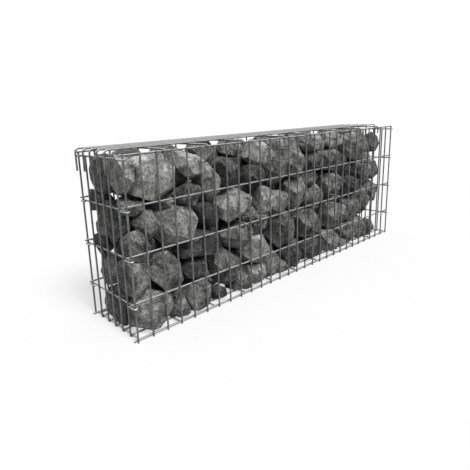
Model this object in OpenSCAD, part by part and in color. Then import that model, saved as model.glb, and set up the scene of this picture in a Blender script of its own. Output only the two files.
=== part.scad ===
// Gabion wall: a welded wire mesh basket, closed with a hooked lid and filled
// with broken quarry stone. The origin is the middle of the ground face, X runs
// along the wall, Y to the back and Z up.

/* [Mesh] */
// Diameter of every wire
wire_d = 5; // [4:0.5:6]
// Spacing of the upright wires in the front and back panels
mesh_w = 50; // [44:1:60]
// Number of mesh widths along the wall
bays_long = 28; // [26:1:32]
// Spacing of the upright wires in the end panels
end_mesh_w = 41; // [36:1:50]
// Number of mesh widths across an end
bays_across = 6; // [5:1:8]
// Spacing of the horizontal wires
row_h = 131; // [115:1:145]
// Height of the lowest row of mesh, which is shorter
bottom_row_h = 106; // [90:1:125]
// Number of full rows above it
full_rows = 3; // [3:1:4]

/* [Hooks] */
// Length of an end wire's tail past its turn round the corner wire
corner_tail = 22; // [8:1:30]
// Drop of the end panels' horizontal wires below those of the front
end_row_drop = 11; // [8:0.5:14]
// How far the front and back wires run on past the corner wires
corner_stub = 10; // [4:1:16]
// Radius of the lid's bends at the two ends, to the middle of the wire
lid_bend_r = 11; // [8:0.5:16]
// Length of the legs that hang down from these bends
lid_leg = 52; // [30:1:80]
// Length of the lid hooks in front of the top wire
lid_hook_leg = 22; // [12:1:35]
// Meshes, counted from either end, over which a cross wire of the lid lies
lid_cross_bays = [2, 5, 8, 12];
// Number of mesh widths from the front that the lid's first long wire is set back
lid_set_back = 2; // [1:1:3]
// Meshes, counted from either end, through which a tie wire runs
tie_bay = 8; // [6:1:10]
// Length of a tie wire's tail past its turn
tie_tail = 6; // [3:0.5:9]

/* [Base] */
// Number of bays between the cross wires of the base
base_bays = 10; // [8:1:12]

/* [Stone fill] */
// Room left free at the right-hand end, where the fill stops short
fill_end_gap = 70; // [40:1:120]
// Number of broken facets on a stone
stone_facets = 14; // [10:1:18]
// Least depth of a facet, as a share of the stone's half size
facet_min = 0.84; // [0.8:0.01:0.95]
// How far neighbouring stones press into each other's room, as a share of their size
stone_press = 1.14; // [1.08:0.01:1.2]

/* [Hidden] */

zinc = "#8d908e";
stone_colours = ["#7d7e78", "#6c6f6b", "#8a8982", "#74766f"];

// Clearance between pieces that lie against each other
seat = 0.3;
// Distance between two welded wires, which sink a little into each other
weld = 0.9 * wire_d;
// Radius of a hook round another wire, to the middle of the hook
hook_r = wire_d + seat;
bend_fn = 32;

length = bays_long * mesh_w;
width = bays_across * end_mesh_w;

// Heights of the wires, to their middle
base_cross_z = hook_r + wire_d / 2;
base_long_z = base_cross_z - weld;
first_row_z = base_long_z + wire_d / 3;
row_z = concat([first_row_z], [for (row = [0:full_rows]) first_row_z + bottom_row_h + row * row_h]);
top_z = row_z[full_rows + 1];
lid_cross_z = top_z + hook_r;
lid_long_z = lid_cross_z + weld;
end_row_z = [for (row = [1:full_rows + 1]) row_z[row] - end_row_drop];
tie_row_z = row_z[2];

// The horizontal wires of an end pass the corner wire on its inner side
end_upright_x = hook_r - weld;

// The lid's legs stand off the end panels, the last ones clear of the corner hooks
function lid_leg_x(bay) = bay == bays_across ? 2 * hook_r : hook_r;
lid_hook_x = [for (side = [-1, 1], bay = lid_cross_bays) side * (length / 2 - (bay + 0.5) * mesh_w)];
tie_x = [for (side = [-1, 1]) side * (length / 2 - (tie_bay + 0.5) * mesh_w)];

// The base lies between the lowest wires of the front and back panels
base_edge_y = width / 2 - weld - hook_r;
base_end_x = length / 2 - end_upright_x - hook_r;

// The room for the stones
fill_x = length / 2 - hook_r - wire_d / 2 - seat;
fill_y = width / 2 - weld - wire_d / 2 - seat;
fill_z0 = base_cross_z + wire_d / 2 + seat;
fill_z1 = lid_cross_z - wire_d / 2 - seat;
tie_half_gap = wire_d / 2 + seat;

// The front is laid out in squares, from its lower left corner
squares = [26.6, 5, 10];
square = [(length - fill_end_gap) / squares[0], width / squares[1], top_z / squares[2]];

// Stones by course, each with the place of its middle, its half width, its half height,
// the lean of its top to the right in degrees and how far it lies back from the mesh
stones_1_left = [[1.65, 1, 1.45, 1, 10, 0], [3.4, 0.5, 0.65, 0.5, 0, 0], [5, 0.75, 1.2, 0.85, -8, 0],
    [6.6, 0.5, 0.6, 0.5, 0, 0.1], [7.6, 1.9, 1, 1.2, -14, 0], [8.7, 0.6, 0.65, 0.65, 0, 0],
    [10.1, 0.8, 0.8, 0.7, 0, 0], [10.5, 2.5, 0.9, 1.1, 8, 0], [11.6, 1.05, 0.85, 1, 20, 0]];
stones_1_right = [[14.3, 1, 1.3, 0.95, 0, 0], [12.9, 0.5, 0.6, 0.55, 0, 0], [17, 1, 1.4, 0.95, 0, 0],
    [19.5, 1.1, 0.9, 0.95, 15, 0], [20.9, 0.5, 0.6, 0.5, 0, 0.1], [22, 1.1, 1, 1, 25, 0],
    [24.1, 1.1, 1, 1, 0, 0.1], [25.7, 0.8, 0.8, 0.85, 0, 0.1]];
stones_2_left = [[0.6, 3.4, 0.58, 1.15, 6, 0], [2.8, 3, 0.75, 1.1, -24, 0], [4.9, 2.7, 0.8, 0.65, 0, 0.2],
    [5.3, 3.85, 1.5, 0.75, -6, 0], [8.7, 4, 1.05, 0.95, 0, 0], [10.7, 4.45, 1, 0.55, -12, 0],
    [13.4, 3.35, 1.05, 1.2, -8, 0]];
stones_2_right = [[16.6, 3.1, 1.2, 1.1, 8, 0], [19.7, 3.2, 0.95, 1.1, 14, 0], [21.1, 3, 0.65, 0.9, 20, 0.2],
    [22.6, 3.2, 1.1, 0.95, 8, 0], [24.5, 3.6, 0.9, 1.15, -10, 0], [25.9, 4.4, 0.75, 0.95, 0, 0]];
stones_3_left = [[0.85, 5, 0.7, 0.8, 0, 0], [1.7, 6.1, 0.55, 0.85, -12, 0.1], [3.85, 5.75, 1.2, 1.05, 12, 0],
    [6.1, 5.8, 0.8, 0.65, 0, 0.2], [8.4, 6, 1.3, 0.9, 0, 0], [9.6, 5.1, 0.9, 0.45, 20, 0.1],
    [11.3, 5.8, 0.8, 0.9, 16, 0], [12.8, 5.4, 0.85, 0.8, 0, 0]];
stones_3_right = [[14.9, 5.7, 1, 0.95, 0, 0], [17.1, 5.2, 0.95, 0.8, -8, 0], [16.8, 6.6, 0.75, 0.65, 0, 0.3],
    [19.7, 5.7, 1.2, 0.95, 0, 0], [22.9, 5.3, 1.3, 0.7, 12, 0], [22.2, 6.8, 1.1, 0.85, 0, 0.9],
    [24.5, 6.3, 0.85, 0.95, 14, 0.1], [25.9, 6.3, 0.75, 0.85, 10, 0]];
stones_4_left = [[0.55, 8.9, 0.5, 1, 0, 0.3], [2.2, 8.5, 1.6, 1.25, 0, 0], [0.9, 7.1, 0.8, 0.5, 10, 0.4],
    [4.7, 7.25, 0.9, 0.55, -10, 0.1], [3.3, 6.95, 0.6, 0.4, 0, 0.9], [4.8, 8.95, 1.1, 0.5, 20, 0],
    [6.2, 7.95, 0.6, 0.95, -10, 0], [7.9, 8.3, 0.95, 1, 0, 0.1], [8.7, 9.45, 0.8, 0.4, 0, 0.5],
    [10.3, 7.75, 0.95, 0.6, 8, 0], [10.9, 9, 1, 0.7, -6, 0], [12.6, 7.9, 0.95, 0.9, 20, 0]];
stones_4_right = [[14.6, 8.1, 1.05, 0.9, 16, 0], [17.2, 9.2, 1.15, 0.6, 6, 0], [17, 7.9, 0.9, 0.7, 0, 0],
    [19.6, 7.8, 1.2, 0.95, 10, 0], [20, 9.3, 1.05, 0.5, -8, 0.2], [23.2, 8.7, 1.7, 0.9, 4, 0],
    [24.9, 7.4, 0.9, 0.5, 0, 0.2], [26, 8.7, 0.7, 0.8, 10, 0]];
// The back half of the fill goes on to its far end, but stays off the corner there
end_stones = [[[27.2, 1.2, 0.8, 0.95, 0, 0.7]],
    [[27.2, 3.1, 0.8, 0.95, 0, 0.4], [27.3, 4.7, 0.7, 0.5, 20, 0]],
    [[27.3, 5.9, 0.8, 0.6, 0, 0.6]],
    [[27.3, 7.2, 0.7, 0.45, -20, 0], [27.3, 8.8, 0.85, 1.05, 0, 0.4]]];
// Between the two halves lie inner stones at an even pitch, staggered from course to course
courses = 4;
inner_columns = [[0:4], [5:8]];
inner_start = 0.7;
inner_pitch = 2.9;
inner_shift = 0.35;
inner_half = [1.3, 1.3];
inner_set_back = 1.3;
function inner_stones(course, side) = [for (column = inner_columns[side])
    [inner_start + inner_pitch * (column + course % 2 * inner_shift), squares[2] / courses * (course + 0.5),
        inner_half[0], inner_half[1], 0, inner_set_back]];
stone_plan = [[stones_1_left, stones_1_right], [stones_2_left, stones_2_right],
    [stones_3_left, stones_3_right], [stones_4_left, stones_4_right]];

// Depth of a stone for its mean half size, and its limits, in squares
stone_depth = 1.15;
stone_depth_limits = [0.85, 1.3];
// How much of its half size a stone is pressed flat against the mesh
stone_flat = 0.12;
// Turn from one facet to the next, which spreads them evenly, and its jitter
facet_turn = 137.5;
facet_jitter = 18;
// Corners of a stone lie no further out than this share of its half size
corner_reach = 1.6;

// Cross-section of a wire, with its flats square to the axes
module wire_section() {
    rotate(22.5) circle(d = wire_d / cos(22.5), $fn = 8);
}

module wire_z(l) {
    linear_extrude(l) wire_section();
}

module wire_x(l) {
    rotate([90, 0, 90]) wire_z(l);
}

module wire_y(l) {
    rotate([-90, 0, 0]) wire_z(l);
}

// An arc of wire round the Z axis, from one angle to another
module wire_arc(r, from, to) {
    rotate(from) rotate_extrude(angle = to - from, $fn = bend_fn) translate([r, 0]) wire_section();
}

// Front or back panel, seen from outside: upright wires before the horizontal ones
module long_panel() {
    for (bay = [0:bays_long]) translate([bay * mesh_w, 0, 0]) wire_z(top_z + wire_d / 2);
    for (z = row_z) translate([-corner_stub, weld, z]) wire_x(length + 2 * corner_stub);
}

// End of an end wire: round the front of the corner wire and back along its outside
module corner_hook() {
    wire_arc(hook_r, 180, 360);
    translate([-hook_r, 0, 0]) wire_y(corner_tail);
}

// Foot of an end panel's upright wire, turned under the last cross wire of the base
module foot_hook() {
    translate([hook_r, 0, base_cross_z]) rotate([90, 0, 0]) wire_arc(hook_r, 180, 360);
}

module end_panel() {
    for (bay = [1:bays_across - 1]) translate([end_upright_x, bay * end_mesh_w, 0]) {
        translate([0, 0, base_cross_z]) wire_z(end_row_z[full_rows] + wire_d / 2 - base_cross_z);
        foot_hook();
    }
    for (z = end_row_z) translate([0, 0, z]) {
        translate([hook_r, 0, 0]) wire_y(width);
        corner_hook();
        translate([0, width, 0]) mirror([0, 1, 0]) corner_hook();
    }
}

module front_panel() {
    color(zinc) translate([-length / 2, -width / 2, 0]) long_panel();
}

module back_panel() {
    color(zinc) translate([length / 2, width / 2, 0]) rotate(180) long_panel();
}

module left_end_panel() {
    color(zinc) translate([-length / 2, -width / 2, 0]) end_panel();
}

module right_end_panel() {
    color(zinc) translate([length / 2, width / 2, 0]) rotate(180) end_panel();
}

// The long wires of the base lie beside the foot hooks, the cross wires on top
module base_panel() {
    inner_y = [for (bay = [1:bays_across - 1]) bay * end_mesh_w - width / 2 + hook_r];
    color(zinc) {
        for (y = concat([-base_edge_y], inner_y, [base_edge_y]))
            translate([-base_end_x, y, base_long_z]) wire_x(2 * base_end_x);
        for (bay = [0:base_bays])
            translate([-base_end_x + bay * 2 * base_end_x / base_bays, -base_edge_y, base_cross_z])
                wire_y(2 * base_edge_y);
    }
}

// One end of a long lid wire, bent down outside the end panel
module lid_bend() {
    translate([lid_bend_r, 0, -lid_bend_r]) {
        rotate([90, 0, 0]) wire_arc(lid_bend_r, 90, 180);
        translate([-lid_bend_r, 0, -lid_leg]) wire_z(lid_leg);
    }
}

// One end of a lid cross wire, hooked over the top wire of the panel below it
module lid_hook() {
    rotate([90, 0, 90]) wire_arc(hook_r, 90, 180);
    translate([0, -hook_r, -lid_hook_leg]) wire_z(lid_hook_leg);
}

module lid_panel() {
    hook_y = width / 2 - weld;
    color(zinc) {
        for (bay = [lid_set_back:bays_across])
            translate([0, min(bay * end_mesh_w - width / 2, hook_y), lid_long_z])
                for (side = [0, 1]) mirror([side, 0, 0]) {
                    end_x = length / 2 + lid_leg_x(bay);
                    translate([lid_bend_r - end_x, 0, 0]) wire_x(end_x - lid_bend_r);
                    translate([-end_x, 0, 0]) lid_bend();
                }
        for (x = lid_hook_x) translate([x, 0, 0]) {
            translate([0, -hook_y, lid_cross_z]) wire_y(2 * hook_y);
            for (side = [0, 1]) mirror([0, side, 0]) translate([0, -hook_y, top_z]) lid_hook();
        }
    }
}

// A wire through the fill that ties the front panel to the back panel
module tie_wire(x) {
    hook_y = width / 2 - weld;
    color(zinc) translate([x, 0, tie_row_z]) {
        translate([0, -hook_y, hook_r]) wire_y(2 * hook_y);
        for (side = [0, 1]) mirror([0, side, 0]) translate([0, -hook_y, 0]) {
            rotate([90, 0, 90]) wire_arc(hook_r, 90, 270);
            translate([0, 0, -hook_r]) wire_y(tie_tail);
        }
    }
}

module left_tie_wire() {
    tie_wire(tie_x[0]);
}

module right_tie_wire() {
    tie_wire(tie_x[1]);
}

function unit(v) = v / norm(v);

// A stone's middle, its three axes and its half sizes. The back half of the fill is the
// front half turned round.
function placed(entry, turn) =
    let (half = [for (k = [0, 1]) stone_press * entry[2 + k]],
        depth = max(stone_depth_limits[0],
            min(stone_depth_limits[1], stone_depth * (entry[2] + entry[3]) / 2)) * stone_press,
        x = entry[0] * square[0] - length / 2,
        y = depth * square[1] * (1 - stone_flat) + entry[5] * square[1] - fill_y,
        lean = turn * entry[4])
    [[turn * x, turn * y, entry[1] * square[2]],
        [[cos(lean), 0, -sin(lean)], [0, 1, 0], [sin(lean), 0, cos(lean)]],
        [half[0] * square[0], depth * square[1], half[1] * square[2]]];

// Half size of a stone in a direction, and the pull of its round form on a way out of it
function reach(stone, n) = norm([for (k = [0:2]) stone[2][k] * (stone[1][k] * n)]);
function pull(stone, way) = [for (k = [0:2]) (stone[1][k] * way) / pow(stone[2][k], 2)] * stone[1];

// Two stones share a flat joint, which leaves each its part of the way between them
function joint(a, b) =
    let (way = b[0] - a[0], n = unit(pull(a, way) + pull(b, way)), near = reach(a, n), far = reach(b, n))
    [n, n * a[0] + (n * way) * near / (near + far) - seat / 2];

// A stone keeps clear of a tie wire and its hooks
function tie_joint(stone, x) =
    let (tie = [x, stone[0][1], tie_row_z], n = unit(tie - stone[0]))
    [n, n * tie - abs(n[0]) * tie_half_gap - abs(n[2]) * (hook_r + tie_half_gap)];

// The limits of the fill
fill_limits = [[[0, -1, 0], fill_y], [[0, 1, 0], fill_y], [[0, 0, -1], -fill_z0],
    [[0, 0, 1], fill_z1], [[-1, 0, 0], fill_x], [[1, 0, 0], fill_x]];

// The facets along which a stone broke, spread over it and set in by chance
function facets(stone, seed) =
    let (r = rands(-1, 1, 3 * stone_facets, seed))
    [for (k = [0:stone_facets - 1])
        let (z = 1 - (2 * k + 1 + r[3 * k] / 2) / stone_facets,
            angle = k * facet_turn + seed * facet_turn + r[3 * k + 1] * facet_jitter,
            n = [sqrt(1 - z * z) * cos(angle), sqrt(1 - z * z) * sin(angle), z],
            share = (1 + facet_min) / 2 + r[3 * k + 2] * (1 - facet_min) / 2)
        [n, n * stone[0] + share * reach(stone, n)]];

// Points where three of the planes meet inside all the others
function corners(planes) =
    let (last = len(planes) - 1)
    [for (i = [0:last - 2], j = [i + 1:last - 1], k = [j + 1:last])
        let (a = planes[i], b = planes[j], c = planes[k], bc = cross(b[0], c[0]), det = a[0] * bc)
        if (abs(det) > 0.001)
            let (p = (a[1] * bc + b[1] * cross(c[0], a[0]) + c[1] * cross(a[0], b[0])) / det)
            if (max([for (plane = planes) plane[0] * p - plane[1]]) < 0.000001) p];

// Every stone with its course, its side (0 left, 1 right) and the way its half is turned
function side_stones(course, side, turn) = concat(stone_plan[course][side],
    turn == 1 ? inner_stones(course, side) : side == 1 ? end_stones[course] : []);
stones = [for (turn = [1, -1], course = [0:courses - 1], side = [0, 1])
    for (entry = side_stones(course, side, turn))
        [placed(entry, turn), course, turn == 1 ? side : 1 - side, turn]];

// A broken stone: its facets, and flat joints where it lies against others
module stone(index) {
    this = stones[index][0];
    others = [for (other = [0:len(stones) - 1]) if (other != index) joint(this, stones[other][0])];
    ties = [for (x = tie_x) tie_joint(this, x)];
    limits = [for (plane = concat(others, ties, fill_limits))
        if (plane[1] - plane[0] * this[0] < corner_reach * reach(this, plane[0])) plane];
    points = corners(concat(facets(this, index), limits));
    hull() polyhedron(points, [for (k = [2:len(points) - 1]) [k - 2, k - 1, k]]);
}

// The stones of a course on one side of the middle of the wall, before or behind it
module stone_course(course, turn, side) {
    color(stone_colours[course])
        for (index = [0:len(stones) - 1])
            if (stones[index][1] == course && stones[index][2] == side && stones[index][3] == turn) stone(index);
}

module front_stones_1_left() { stone_course(0, 1, 0); }
module front_stones_1_right() { stone_course(0, 1, 1); }
module front_stones_2_left() { stone_course(1, 1, 0); }
module front_stones_2_right() { stone_course(1, 1, 1); }
module front_stones_3_left() { stone_course(2, 1, 0); }
module front_stones_3_right() { stone_course(2, 1, 1); }
module front_stones_4_left() { stone_course(3, 1, 0); }
module front_stones_4_right() { stone_course(3, 1, 1); }
module back_stones_1_left() { stone_course(0, -1, 0); }
module back_stones_1_right() { stone_course(0, -1, 1); }
module back_stones_2_left() { stone_course(1, -1, 0); }
module back_stones_2_right() { stone_course(1, -1, 1); }
module back_stones_3_left() { stone_course(2, -1, 0); }
module back_stones_3_right() { stone_course(2, -1, 1); }
module back_stones_4_left() { stone_course(3, -1, 0); }
module back_stones_4_right() { stone_course(3, -1, 1); }

front_panel();
back_panel();
left_end_panel();
right_end_panel();
base_panel();
lid_panel();
left_tie_wire();
right_tie_wire();
front_stones_1_left();
front_stones_1_right();
front_stones_2_left();
front_stones_2_right();
front_stones_3_left();
front_stones_3_right();
front_stones_4_left();
front_stones_4_right();
back_stones_1_left();
back_stones_1_right();
back_stones_2_left();
back_stones_2_right();
back_stones_3_left();
back_stones_3_right();
back_stones_4_left();
back_stones_4_right();
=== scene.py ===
# %% [markdown]
# # A gabion wall
# A gabion is a basket of welded steel wire that is filled with broken stone. This lesson dresses
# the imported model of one: the wires keep their modelled shapes and get a hot-dip galvanised
# finish, and each rough block of stone is worked into a quarry stone with fractures and grain.
# Everything is in metres, in the same frame as the model.

import math
import random

import bmesh
import bpy
from mathutils import Euler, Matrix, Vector, noise


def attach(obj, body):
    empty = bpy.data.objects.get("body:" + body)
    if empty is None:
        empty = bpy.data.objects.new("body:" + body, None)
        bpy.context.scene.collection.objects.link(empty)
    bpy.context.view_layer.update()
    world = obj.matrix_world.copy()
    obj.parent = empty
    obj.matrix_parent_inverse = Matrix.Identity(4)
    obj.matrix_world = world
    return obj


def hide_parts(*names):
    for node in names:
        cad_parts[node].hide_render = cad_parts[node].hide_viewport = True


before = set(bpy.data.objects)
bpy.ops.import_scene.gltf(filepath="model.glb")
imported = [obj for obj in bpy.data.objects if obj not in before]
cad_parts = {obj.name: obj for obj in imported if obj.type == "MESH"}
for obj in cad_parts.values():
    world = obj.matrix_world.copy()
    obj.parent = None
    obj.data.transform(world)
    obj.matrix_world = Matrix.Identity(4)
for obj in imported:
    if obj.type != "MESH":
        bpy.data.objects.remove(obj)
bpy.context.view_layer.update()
MM = 0.001

# %% [markdown]
# ## The camera
# The photograph was taken from the left, a little above the wall. A short lens stands close to
# the near corner, which makes the wall taper strongly. The small shift stands for a picture that
# was cropped out of a larger one. Place, turn and lens were matched until the model's mesh lay on
# the mesh in the photograph.

# %% Camera
LENS_MM = 31.714
SENSOR_MM = 36
CAMERA_PLACE = (-1.2099, -1.0148, 0.5933)
CAMERA_TURN_DEG = (76.760, 2.383, -41.486)
CAMERA_SHIFT = (0.06, -0.05)

camera = bpy.data.objects.new("camera", bpy.data.cameras.new("camera"))
bpy.context.scene.collection.objects.link(camera)
camera.location = CAMERA_PLACE
camera.rotation_euler = Euler([math.radians(turn) for turn in CAMERA_TURN_DEG])
camera.data.lens = LENS_MM
camera.data.sensor_width = SENSOR_MM
camera.data.shift_x, camera.data.shift_y = CAMERA_SHIFT
bpy.context.scene.camera = camera
bpy.context.scene.view_settings.view_transform = "Standard"
print("camera", [round(value, 3) for value in camera.location])

# %% [markdown]
# ## Helpers for materials
# Colours are written as sRGB hex values, as a colour picker shows them, and turned into the
# linear values that the shaders count in. One function adds a node, sets its values and links
# its inputs, so that a material reads as a list of nodes.

# %% Material helpers
# The sockets of a Mix node that is set to colours: its two colours and its result
FIRST_COLOUR = 6
SECOND_COLOUR = 7
MIXED_COLOUR = 2


def linear(hex_colour):
    """The linear colour of an sRGB hex value such as '#8d908e'."""
    parts = [int(hex_colour[at:at + 2], 16) / 255 for at in (1, 3, 5)]
    light = [part / 12.92 if part <= 0.04045 else ((part + 0.055) / 1.055) ** 2.4 for part in parts]
    return light + [1.0]


def new_material(name):
    """A material with a Principled shader; returns the material and that shader."""
    material = bpy.data.materials.new(name)
    material.use_nodes = True
    return material, material.node_tree.nodes["Principled BSDF"]


def add(owner, kind, links=None, values=None, stops=None, **settings):
    """Adds a node to a material or world. links feeds inputs from sockets, values sets inputs,
    and stops are a colour ramp's places, each with its hex colour."""
    made = owner.node_tree.nodes.new(kind)
    for key, value in settings.items():
        setattr(made, key, value)
    for key, value in (values or {}).items():
        made.inputs[key].default_value = value
    for key, socket in (links or {}).items():
        owner.node_tree.links.new(socket, made.inputs[key])
    if stops:
        elements = made.color_ramp.elements
        while len(elements) < len(stops):
            elements.new(1.0)
        for element, (place, colour) in zip(elements, stops):
            element.position = place
            element.color = linear(colour)
    return made


def join(owner, socket, made, key):
    """Links a socket to an input of a node that stands already."""
    owner.node_tree.links.new(socket, made.inputs[key])


print("mid grey #808080 in linear light:", round(linear("#808080")[0], 3))

# %% [markdown]
# ## Floor, background and light
# The floor and the background are white to the camera and in reflections. The floor keeps a part
# of its own shading, so that the shadow under the wall stays. For the light that bounces off it,
# it is a light grey, so that the undersides of the stones stay dark. A very soft sun and a dim
# sky light the wall as a bright overcast day does.

# %% Floor and background
FLOOR_SIZE = 40.0
SHADOW_SHARE = 0.4
WHITE = (1, 1, 1, 1)


def seen_directly(owner):
    """A socket that is 1 for what the camera sees, also in a reflection or through glass."""
    path = add(owner, "ShaderNodeLightPath")
    seen = path.outputs["Is Camera Ray"]
    for ray in ("Is Glossy Ray", "Is Transmission Ray"):
        either = add(owner, "ShaderNodeMath", {0: seen, 1: path.outputs[ray]}, operation="MAXIMUM")
        seen = either.outputs[0]
    return seen


floor_mesh = bpy.data.meshes.new("floor")
floor_shape = bmesh.new()
bmesh.ops.create_grid(floor_shape, x_segments=1, y_segments=1, size=FLOOR_SIZE / 2)
floor_shape.to_mesh(floor_mesh)
floor_shape.free()
floor = bpy.data.objects.new("floor", floor_mesh)
bpy.context.scene.collection.objects.link(floor)

floor_finish, floor_shader = new_material("white_floor")
floor_shader.inputs["Roughness"].default_value = 0.9
floor_shader.inputs["Specular IOR Level"].default_value = 0.0
floor_seen = seen_directly(floor_finish)
floor_colour = add(floor_finish, "ShaderNodeMix", {0: floor_seen},
                   {FIRST_COLOUR: linear("#bcbcba"), SECOND_COLOUR: linear("#ffffff")},
                   data_type="RGBA")
join(floor_finish, floor_colour.outputs[MIXED_COLOUR], floor_shader, "Base Color")
white_share = add(floor_finish, "ShaderNodeMath", {0: floor_seen}, {1: 1 - SHADOW_SHARE},
                  operation="MULTIPLY")
white = add(floor_finish, "ShaderNodeEmission", values={"Color": WHITE, "Strength": 1.0})
floor_mix = add(floor_finish, "ShaderNodeMixShader", {0: white_share.outputs[0],
                1: floor_shader.outputs[0], 2: white.outputs[0]})
join(floor_finish, floor_mix.outputs[0], floor_finish.node_tree.nodes["Material Output"], "Surface")
floor.data.materials.append(floor_finish)
print("floor", FLOOR_SIZE, "m wide")

# %% Sky
SKY_LEVEL = 0.44

world = bpy.data.worlds.new("overcast")
world.use_nodes = True
bpy.context.scene.world = world
sky = world.node_tree.nodes["Background"]
direction = add(world, "ShaderNodeTexCoord")
height = add(world, "ShaderNodeSeparateXYZ", {0: direction.outputs["Generated"]})
sky_colour = add(world, "ShaderNodeValToRGB", {0: height.outputs["Z"]},
                 stops=[(0.0, "#7c7e80"), (0.3, "#b4b6b8"), (1.0, "#ffffff")])
join(world, sky_colour.outputs["Color"], sky, "Color")
sky.inputs["Strength"].default_value = SKY_LEVEL
backdrop = add(world, "ShaderNodeBackground", values={"Color": WHITE, "Strength": 1.0})
sky_mix = add(world, "ShaderNodeMixShader", {0: seen_directly(world), 1: sky.outputs[0],
              2: backdrop.outputs[0]})
join(world, sky_mix.outputs[0], world.node_tree.nodes["World Output"], "Surface")
print("sky", SKY_LEVEL)

# %% Sun
SUN_LEVEL = 2.7
SUN_WIDTH_DEG = 24
SUN_PLACE = Vector((-0.3, -2.7, 3.6))

sun = bpy.data.objects.new("veiled_sun", bpy.data.lights.new("veiled_sun", "SUN"))
bpy.context.scene.collection.objects.link(sun)
sun.data.energy = SUN_LEVEL
sun.data.angle = math.radians(SUN_WIDTH_DEG)
sun.location = SUN_PLACE
sun.rotation_euler = (-SUN_PLACE).to_track_quat("-Z", "Y").to_euler()
print("sun", SUN_LEVEL)

# %% [markdown]
# ## Galvanised wire
# The basket is welded from drawn steel wire and then dipped in molten zinc. The zinc dulls to a
# mid grey in the open air: it is still a metal, but a cloudy one, with faint lighter and darker
# runs. A plain metal shader would only mirror the white surroundings, so this one is half metallic
# with a broad gloss and a slow noise changes its grey. Faces that look up are painted paler, as
# painted top light from above. The real grit is finer than 0.1 mm, too fine to show, so it is drawn
# coarser.

# %% Galvanised wire finish
RUN_MM = 24
GRIT_MM = 1.6
# Painted top light: how steeply a face must look up, and how far it is mixed towards pale zinc
TOP_LIGHT_SLOPE = (0.1, 0.8)
TOP_LIGHT_SHARE = 0.75

zinc, zinc_shader = new_material("hot_dip_galvanised_wire")
zinc_place = {"Vector": add(zinc, "ShaderNodeTexCoord").outputs["Object"]}
runs = add(zinc, "ShaderNodeTexNoise", zinc_place,
           {"Scale": 1 / (RUN_MM * MM), "Detail": 3.0, "Roughness": 0.6})
zinc_grey = add(zinc, "ShaderNodeValToRGB", {0: runs.outputs["Fac"]},
                stops=[(0.3, "#505352"), (0.52, "#686b6a"), (0.75, "#878a89")])
zinc_facing = add(zinc, "ShaderNodeNewGeometry")
zinc_up = add(zinc, "ShaderNodeSeparateXYZ", {0: zinc_facing.outputs["Normal"]})
# Painted top light: faces that look up are mixed towards a pale grey
painted_top_light = add(zinc, "ShaderNodeMapRange", {"Value": zinc_up.outputs["Z"]},
            {"From Min": TOP_LIGHT_SLOPE[0], "From Max": TOP_LIGHT_SLOPE[1], "To Min": 0.0,
             "To Max": TOP_LIGHT_SHARE})
zinc_colour = add(zinc, "ShaderNodeMix",
                  {0: painted_top_light.outputs[0], FIRST_COLOUR: zinc_grey.outputs["Color"]},
                  {SECOND_COLOUR: linear("#dfe2df")}, data_type="RGBA")
join(zinc, zinc_colour.outputs[MIXED_COLOUR], zinc_shader, "Base Color")
zinc_shader.inputs["Metallic"].default_value = 0.5
grit = add(zinc, "ShaderNodeTexNoise", zinc_place, {"Scale": 1 / (GRIT_MM * MM), "Detail": 2.0})
zinc_rough = add(zinc, "ShaderNodeMapRange", {"Value": grit.outputs["Fac"]},
                 {"To Min": 0.28, "To Max": 0.46})
join(zinc, zinc_rough.outputs[0], zinc_shader, "Roughness")
zinc_bump = add(zinc, "ShaderNodeBump", {"Height": grit.outputs["Fac"]},
                {"Strength": 0.25, "Distance": 0.3 * MM})
join(zinc, zinc_bump.outputs[0], zinc_shader, "Normal")
print("zinc patterns, mm:", RUN_MM, GRIT_MM)

# %% Galvanised nodes
WIRE_NODES = ["front_panel", "back_panel", "left_end_panel", "right_end_panel", "base_panel",
              "lid_panel", "left_tie_wire", "right_tie_wire"]
for name in WIRE_NODES:
    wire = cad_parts[name]
    wire.data.materials.clear()
    wire.data.materials.append(zinc)
print("galvanised nodes:", len(WIRE_NODES))

# %% [markdown]
# ## Quarry stone
# The fill is blasted and crushed basalt: dense, dull and nearly without gloss, with a fine grain
# of pale and dark crystals. Faces that look up are drawn paler. Each stone has its own grey, which
# its mesh carries as an attribute, and patches, flecks, crystals and the upward paling move that
# grey up or down. Crystals of 1 to 2 mm would vanish at this distance, so they are drawn a little
# coarser.

# %% Quarry stone grey
TONE = "stone_tone"
PATCH_MM = 38
FLECK_MM = 9
CRYSTAL_MM = 3
PATCH_CHANGE = 0.3
FLECK_CHANGE = 0.2
CRYSTAL_CHANGE = 0.17
# Faces that look up are drawn this much paler, from the first slope to the second
UPWARD_PALING = 0.16
UPWARD_SLOPE = (0.1, 0.9)
# Nearly all of what a noise texture gives lies between these values
NOISE_RANGE = (0.3, 0.7)

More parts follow.
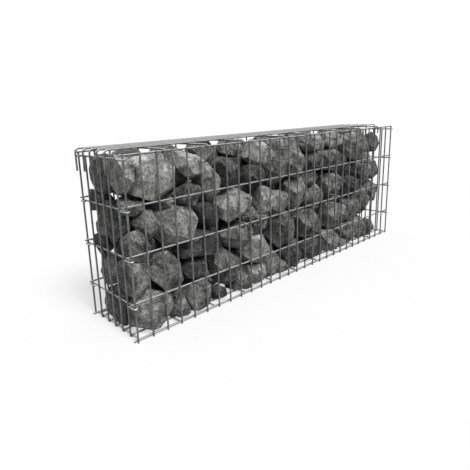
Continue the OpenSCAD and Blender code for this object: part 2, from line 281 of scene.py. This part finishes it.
stone, stone_shader = new_material("crushed_basalt")
stone_place = {"Vector": add(stone, "ShaderNodeTexCoord").outputs["Object"]}
patches = add(stone, "ShaderNodeTexNoise", stone_place,
              {"Scale": 1 / (PATCH_MM * MM), "Detail": 6.0, "Roughness": 0.65})
flecks = add(stone, "ShaderNodeTexNoise", stone_place,
             {"Scale": 1 / (FLECK_MM * MM), "Detail": 3.0, "Roughness": 0.7})
crystals = add(stone, "ShaderNodeTexVoronoi", stone_place, {"Scale": 1 / (CRYSTAL_MM * MM)})
crystal_grey = add(stone, "ShaderNodeSeparateColor", {0: crystals.outputs["Color"]})
# The normal's height, by which faces that look up are drawn paler
facing = add(stone, "ShaderNodeNewGeometry")
facing_up = add(stone, "ShaderNodeSeparateXYZ", {0: facing.outputs["Normal"]})
grey = add(stone, "ShaderNodeAttribute", attribute_name=TONE).outputs["Fac"]
for pattern, low, high, least, most in (
        (patches.outputs["Fac"], *NOISE_RANGE, -PATCH_CHANGE, PATCH_CHANGE),
        (flecks.outputs["Fac"], *NOISE_RANGE, -FLECK_CHANGE, FLECK_CHANGE),
        (crystal_grey.outputs[0], 0.0, 1.0, -CRYSTAL_CHANGE, CRYSTAL_CHANGE),
        (facing_up.outputs["Z"], *UPWARD_SLOPE, 0.0, UPWARD_PALING)):
    change = add(stone, "ShaderNodeMapRange", {"Value": pattern},
                 {"From Min": low, "From Max": high, "To Min": least, "To Max": most})
    grey = add(stone, "ShaderNodeMath", {0: grey, 1: change.outputs[0]}, operation="ADD").outputs[0]
stone_colour = add(stone, "ShaderNodeValToRGB", {0: grey},
                   stops=[(0.0, "#2c2d2c"), (0.3, "#5b5c59"), (0.55, "#858682"),
                          (0.8, "#afb0ab"), (1.0, "#d2d2cd")])
join(stone, stone_colour.outputs["Color"], stone_shader, "Base Color")
print("stone patterns, mm:", PATCH_MM, FLECK_MM, CRYSTAL_MM)

# %% Quarry stone surface
PIT_MM = 16
PIT_DEPTH_MM = 3

stone_shader.inputs["Roughness"].default_value = 0.86
stone_shader.inputs["Specular IOR Level"].default_value = 0.35
pits = add(stone, "ShaderNodeTexNoise", stone_place,
           {"Scale": 1 / (PIT_MM * MM), "Detail": 8.0, "Roughness": 0.7})
stone_bump = add(stone, "ShaderNodeBump", {"Height": pits.outputs["Fac"]},
                 {"Strength": 0.7, "Distance": PIT_DEPTH_MM * MM})
join(stone, stone_bump.outputs[0], stone_shader, "Normal")
print("pits, mm:", PIT_MM)

# %% [markdown]
# ## Telling the stones apart
# The model holds each stone as a block with flat sides, and many of them in one mesh. Each stone
# is worked by itself, so the first step is to find the vertices that hang together.

# %% Finding single stones
def connected(start):
    """The vertices of one stone, found from one of them."""
    part, queue = {start: None}, [start]
    while queue:
        for edge in queue.pop().link_edges:
            for vert in edge.verts:
                if vert not in part:
                    part[vert] = None
                    queue.append(vert)
    return list(part)


def loose_parts(shape):
    """The stones of a bmesh, as lists of vertices."""
    seen, parts = set(), []
    for start in shape.verts:
        if start not in seen:
            parts.append(connected(start))
            seen.update(parts[-1])
    return parts


# %% [markdown]
# ## Chipped corners
# A real stone broke along many small fractures, and its corners were knocked off on the way to
# the basket. A bevel would round all edges alike, so single corners are cut off along planes that
# are turned at random, and the cut is closed with a flat face.

# %% Chipping a corner
CHIPS = 5
CHIP_DEPTH = (4 * MM, 10 * MM)
CUT_DISTANCE = 0.01 * MM


def chip(shape, part, draw):
    """Breaks a chip off one stone: cuts its furthest corner along a random plane."""
    way = Vector((draw.gauss(0, 1), draw.gauss(0, 1), draw.gauss(0, 1))).normalized()
    top = max(vert.co.dot(way) for vert in part)
    level = top - draw.uniform(*CHIP_DEPTH)
    edges = {edge for vert in part for edge in vert.link_edges}
    faces = {face for vert in part for face in vert.link_faces}
    cut = bmesh.ops.bisect_plane(shape, geom=list(part) + list(edges) + list(faces),
                                 dist=CUT_DISTANCE, plane_co=way * level, plane_no=way,
                                 clear_outer=True)
    rim = [item for item in cut["geom_cut"] if isinstance(item, bmesh.types.BMEdge)]
    bmesh.ops.contextual_create(shape, geom=rim)
    first = cut["geom_cut"][0]
    return connected(first if isinstance(first, bmesh.types.BMVert) else rim[0].verts[0])


print("chips a stone:", CHIPS)

# %% [markdown]
# ## A grey for each stone
# Broken basalt from one quarry still differs from stone to stone. Most stones draw their tone at
# random, seeded by their own place, so that it is the same each run. The stones of the front that
# the photograph shows clearly paler or darker are named, by the squares that the front is laid
# out in, counted from its lower left corner.

# %% Stone tones
USUAL_TONES = (0.2, 0.46)
PALE_TONE = 0.59
DARK_TONE = 0.06
SQUARE = (50 * MM, 50.4 * MM)
FRONT_LEFT = -700 * MM
# A stone whose middle lies this close to a named place is the one that is meant
SAME_STONE = 25 * MM
PALE_STONES = [(2.2, 8.5), (4.8, 8.95), (6.2, 7.95), (3.85, 5.75), (8.4, 6), (11.3, 5.8),
               (10.5, 2.5), (10.9, 9), (20, 9.3), (0.55, 8.9)]
DARK_STONES = [(7.9, 8.3), (4.9, 2.7), (5.3, 3.85), (6.1, 5.8), (14.3, 1), (10.3, 7.75),
               (22.2, 6.8), (6.6, 0.5), (22.9, 5.3), (17, 1)]


def front_tone(centre, usual):
    """The tone of a front stone: pale or dark if it is one of the stones named above."""
    for places, named_tone in ((PALE_STONES, PALE_TONE), (DARK_STONES, DARK_TONE)):
        for column, row in places:
            across = centre.x - FRONT_LEFT - column * SQUARE[0]
            if math.hypot(across, centre.z - row * SQUARE[1]) < SAME_STONE:
                return named_tone
    return usual


print("named stones:", len(PALE_STONES), "pale,", len(DARK_STONES), "dark")

# %% [markdown]
# ## Broken faces
# The flats of a broken stone are never flat: they swell, step where the stone split along its
# bedding, and end in a fine grain. Bump alone would leave the outline smooth, so the faces are
# cut up finely and each point is pushed in towards the stone's middle. Nothing is pushed outwards,
# so the stones stay clear of each other and of the mesh.

# %% Cutting faces up finely
FACE_SIZE = 6.5 * MM
LONG_EDGE = 1.5 * FACE_SIZE
HALVINGS = 6


def cut_finely(shape):
    """Halves the long edges of all faces, a few times over."""
    for halving in range(HALVINGS):
        long_edges = [edge for edge in shape.edges if edge.calc_length() > LONG_EDGE]
        bmesh.ops.subdivide_edges(shape, edges=long_edges, cuts=1)
        bmesh.ops.triangulate(shape, faces=[face for face in shape.faces if len(face.verts) > 3],
                              quad_method="SHORT_EDGE")


print("faces are cut to about", round(FACE_SIZE / MM, 1), "mm")

# %% Depth of a broken face
SWELL_SIZE = 55 * MM
SWELL_DEPTH = 1.2 * MM
STEP_SIZE = 26 * MM
STEP_DEPTH = 2.6 * MM
STEP_WAVE = 0.9
GRAIN_SIZE = 9 * MM
GRAIN_DEPTH = 0.4 * MM
# How fast the finer layers of a noise fade, how much finer each one is, and how many there are
SWELL_LAYERS = (1.0, 2.0, 2)
GRAIN_LAYERS = (0.7, 2.0, 3)


def broken_depth(point, centre):
    """How deep the broken face lies under the flat one: a slow swell, steps where the stone
    split along its bedding, and a fine grain."""
    bedding = (noise.cell_vector(centre / MM) - Vector((0.5, 0.5, 0.5))).normalized()
    swell = 0.5 + 0.5 * noise.fractal(point / SWELL_SIZE, *SWELL_LAYERS)
    layer = point.dot(bedding) / STEP_SIZE + STEP_WAVE * noise.noise(point / SWELL_SIZE)
    step = layer - math.floor(layer)
    grain = 0.5 + 0.5 * noise.fractal(point / GRAIN_SIZE, *GRAIN_LAYERS)
    return max(0.0, SWELL_DEPTH * swell + STEP_DEPTH * step * step + GRAIN_DEPTH * grain)


print("deepest relief, mm:", round((SWELL_DEPTH + STEP_DEPTH + GRAIN_DEPTH) / MM, 1))

# %% [markdown]
# ## Working the stones of a node
# Each piece starts as a copy of a node's own mesh, so that every stone keeps its place. The copy
# is loose triangles: its doubles are merged and its flat sides joined again, then the corners
# are chipped, the faces cut up and the points pushed in. Edges that turn sharply stay hard in the
# shading, as those of freshly broken stone do.

# %% The stones of one node
MERGE_DISTANCE = 0.05 * MM
FLAT_ANGLE = math.radians(2)
SHARP_ANGLE = math.radians(18)
# These turn a stone's place into a seed of its own
SEED_SHARES = (997, 1409, 2203)


def work_stones(node):
    """Works the stones of one node and returns the piece that stands for it."""
    shape = bmesh.new()
    shape.from_mesh(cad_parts[node].data)
    bmesh.ops.remove_doubles(shape, verts=shape.verts, dist=MERGE_DISTANCE)
    bmesh.ops.dissolve_limit(shape, angle_limit=FLAT_ANGLE, verts=shape.verts, edges=shape.edges)
    tone_layer = shape.verts.layers.float.new(TONE)
    centre_layer = shape.verts.layers.float_vector.new("centre")
    for part in loose_parts(shape):
        centre = sum((vert.co for vert in part), Vector()) / len(part)
        seed = sum(share * value for share, value in zip(SEED_SHARES, centre))
        draw = random.Random(round(seed, 2))
        for chip_number in range(CHIPS):
            part = chip(shape, part, draw)
        tone = draw.uniform(*USUAL_TONES)
        if centre.y < 0:
            tone = front_tone(centre, tone)
        for vert in part:
            vert[tone_layer] = tone
            vert[centre_layer] = centre
    bmesh.ops.triangulate(shape, faces=shape.faces)
    cut_finely(shape)
    for vert in shape.verts:
        centre = vert[centre_layer].copy()
        vert.co += (centre - vert.co).normalized() * broken_depth(vert.co, centre)
    shape.verts.layers.float_vector.remove(centre_layer)
    for face in shape.faces:
        face.smooth = True
    for edge in shape.edges:
        edge.smooth = edge.calc_face_angle(math.pi) < SHARP_ANGLE
    name = "broken_" + node
    mesh = bpy.data.meshes.new(name)
    shape.to_mesh(mesh)
    shape.free()
    piece = bpy.data.objects.new(name, mesh)
    bpy.context.scene.collection.objects.link(piece)
    piece.data.materials.append(stone)
    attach(piece, "root")
    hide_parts(node)
    return piece


# %% All the stones
stones = []
for course in (1, 2, 3, 4):
    for half in ("front", "back"):
        for side in ("left", "right"):
            stones.append(work_stones("%s_stones_%d_%s" % (half, course, side)))
print("stone triangles:", sum(len(piece.data.polygons) for piece in stones),
      "most in a piece:", max(len(piece.data.polygons) for piece in stones))
